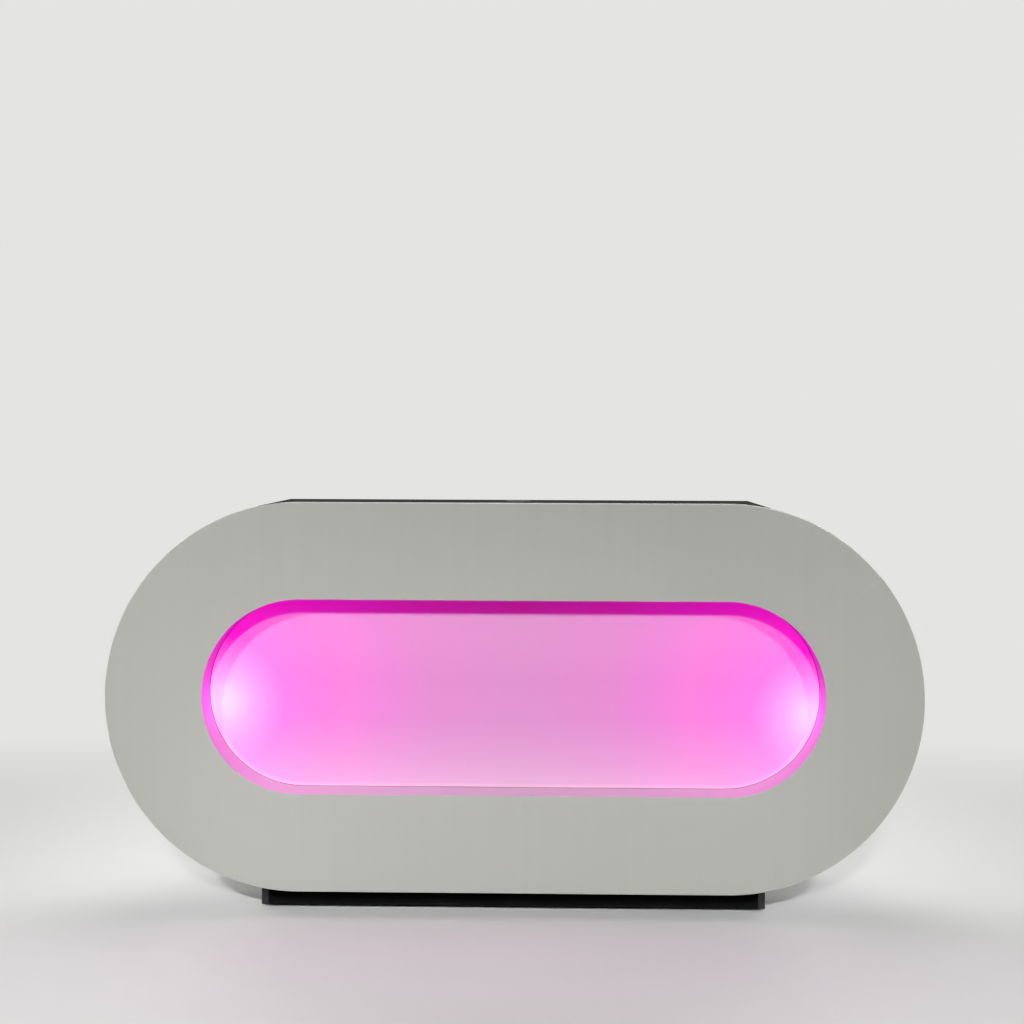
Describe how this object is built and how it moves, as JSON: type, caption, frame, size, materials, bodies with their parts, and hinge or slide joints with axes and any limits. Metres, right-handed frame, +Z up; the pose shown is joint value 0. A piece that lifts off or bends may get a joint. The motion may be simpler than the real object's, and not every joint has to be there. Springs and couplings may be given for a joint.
{
  "type": "dj booth",
  "caption": "Free-standing DJ booth with a white pill-shaped front, a back-lit pill recess, a shallow light drum with service hatches, and a black desk with a shelf behind.",
  "frame": {"origin": "on the floor, under the middle of the booth's box", "axes": "+X along the booth's width, +Y from the white front to the desk behind it, +Z up"},
  "size_m": [2.1, 0.62, 1.06],
  "materials": {
    "satin_white": "satin white lacquer on fibreboard",
    "opal_acrylic": "opal sheet, lit magenta from behind",
    "black_paint": "matt black paint on plywood",
    "black_laminate": "black laminate on board",
    "plywood": "bare birch plywood",
    "black_plastic": "fine-textured black moulding",
    "grey_plastic": "smooth grey moulding",
    "zinc_steel": "zinc plated",
    "cast_aluminium": "grey powder-coated casting",
    "lens": "clear ribbed polycarbonate",
    "cable_sheath": "matt black sheath"
  },
  "bodies": {
    "booth": {"front_fascia": "satin_white", "recess_liner": "satin_white", "liner_flange": "plywood", "diffuser_panel": "opal_acrylic", "diffuser_retainer": "plywood", "drum_band_left": "black_paint", "drum_band_right": "black_paint", "drum_back": "black_paint", "rib_upper_left": "plywood", "rib_upper_right": "plywood", "rib_lower_left": "plywood", "rib_lower_right": "plywood", "hinge_frame_leaf_left": "zinc_steel", "hinge_frame_leaf_right": "zinc_steel", "hinge_pin_left": "zinc_steel", "hinge_pin_right": "zinc_steel", "lamp_yoke_left": "zinc_steel", "lamp_yoke_right": "zinc_steel", "lamp_bolt_lower_left": "zinc_steel", "lamp_bolt_lower_right": "zinc_steel", "lamp_bolt_upper_left": "zinc_steel", "lamp_bolt_upper_right": "zinc_steel", "lamp_cable_left": "cable_sheath", "lamp_cable_right": "cable_sheath", "led_driver": "cast_aluminium", "power_panel": "black_plastic", "inlet_module": "black_plastic", "worktop": "black_laminate", "side_panel_left": "black_laminate", "side_panel_right": "black_laminate", "base_board": "black_laminate", "plinth_front": "black_laminate", "plinth_rear": "black_laminate", "shelf": "black_laminate", "shelf_cleat_left": "black_laminate", "shelf_cleat_right": "black_laminate", "grommet_ring": "black_plastic", "leg_socket_front_left": "black_plastic", "leg_socket_front_right": "black_plastic", "leg_socket_rear_left": "black_plastic", "leg_socket_rear_right": "black_plastic"},
    "lamp_left": {"lamp_head_left": "cast_aluminium", "lamp_lens_left": "lens"},
    "lamp_right": {"lamp_head_right": "cast_aluminium", "lamp_lens_right": "lens"},
    "hatch_left": {"hatch_door_left": "black_paint", "hinge_door_leaf_left": "zinc_steel"},
    "hatch_right": {"hatch_door_right": "black_paint", "hinge_door_leaf_right": "zinc_steel"},
    "latch_left": {"hatch_latch_left": "black_plastic"},
    "latch_right": {"hatch_latch_right": "black_plastic"},
    "rocker": {"rocker_switch": "black_plastic"},
    "colour_button": {"button_colour": "grey_plastic"},
    "level_button": {"button_level": "grey_plastic"},
    "mode_button": {"button_mode": "grey_plastic"},
    "cable_cap": {"grommet_cap": "black_plastic"},
    "foot_front_left": {"leg_foot_front_left": "black_plastic"},
    "foot_front_right": {"leg_foot_front_right": "black_plastic"},
    "foot_rear_left": {"leg_foot_rear_left": "black_plastic"},
    "foot_rear_right": {"leg_foot_rear_right": "black_plastic"}
  },
  "joints": [
    {"name": "lamp_pan_left", "type": "hinge", "parent": "booth", "child": "lamp_left", "pos_m": [-0.945, -0.1209, 0.56], "axis": [0, 0, 1], "range_deg": [-25, 25]},
    {"name": "lamp_pan_right", "type": "hinge", "parent": "booth", "child": "lamp_right", "pos_m": [0.945, -0.1209, 0.56], "axis": [0, 0, 1], "range_deg": [-25, 25]},
    {"name": "hatch_swing_left", "type": "hinge", "parent": "booth", "child": "hatch_left", "pos_m": [-0.91425, -0.0437, 0.56], "axis": [0, 0, 1], "range_deg": [0, 110]},
    {"name": "hatch_swing_right", "type": "hinge", "parent": "booth", "child": "hatch_right", "pos_m": [0.91425, -0.0437, 0.56], "axis": [0, 0, -1], "range_deg": [0, 110]},
    {"name": "latch_turn_left", "type": "hinge", "parent": "hatch_left", "child": "latch_left", "pos_m": [-0.7385, -0.048, 0.56], "axis": [0, 1, 0], "range_deg": [0, 90]},
    {"name": "latch_turn_right", "type": "hinge", "parent": "hatch_right", "child": "latch_right", "pos_m": [0.7385, -0.048, 0.56], "axis": [0, -1, 0], "range_deg": [0, 90]},
    {"name": "rocker_throw", "type": "hinge", "parent": "booth", "child": "rocker", "pos_m": [-0.021, -0.0434, 0.1616], "axis": [-1, 0, 0], "range_deg": [0, 16]},
    {"name": "colour_press", "type": "slide", "parent": "booth", "child": "colour_button", "axis": [0, -1, 0], "range_m": [0, 0.0015], "stiffness_N_per_m": 600},
    {"name": "level_press", "type": "slide", "parent": "booth", "child": "level_button", "axis": [0, -1, 0], "range_m": [0, 0.0015], "stiffness_N_per_m": 600},
    {"name": "mode_press", "type": "slide", "parent": "booth", "child": "mode_button", "axis": [0, -1, 0], "range_m": [0, 0.0015], "stiffness_N_per_m": 600},
    {"name": "cable_cap_turn", "type": "hinge", "parent": "booth", "child": "cable_cap", "pos_m": [0, 0.2273, 1.049], "axis": [0, 0, 1], "continuous": true},
    {"name": "foot_screw_front_left", "type": "slide", "parent": "booth", "child": "foot_front_left", "axis": [0, 0, -1], "range_m": [0, 0.02]},
    {"name": "foot_screw_front_right", "type": "slide", "parent": "booth", "child": "foot_front_right", "axis": [0, 0, -1], "range_m": [0, 0.02]},
    {"name": "foot_screw_rear_left", "type": "slide", "parent": "booth", "child": "foot_rear_left", "axis": [0, 0, -1], "range_m": [0, 0.02]},
    {"name": "foot_screw_rear_right", "type": "slide", "parent": "booth", "child": "foot_rear_right", "axis": [0, 0, -1], "range_m": [0, 0.02]}
  ]
}
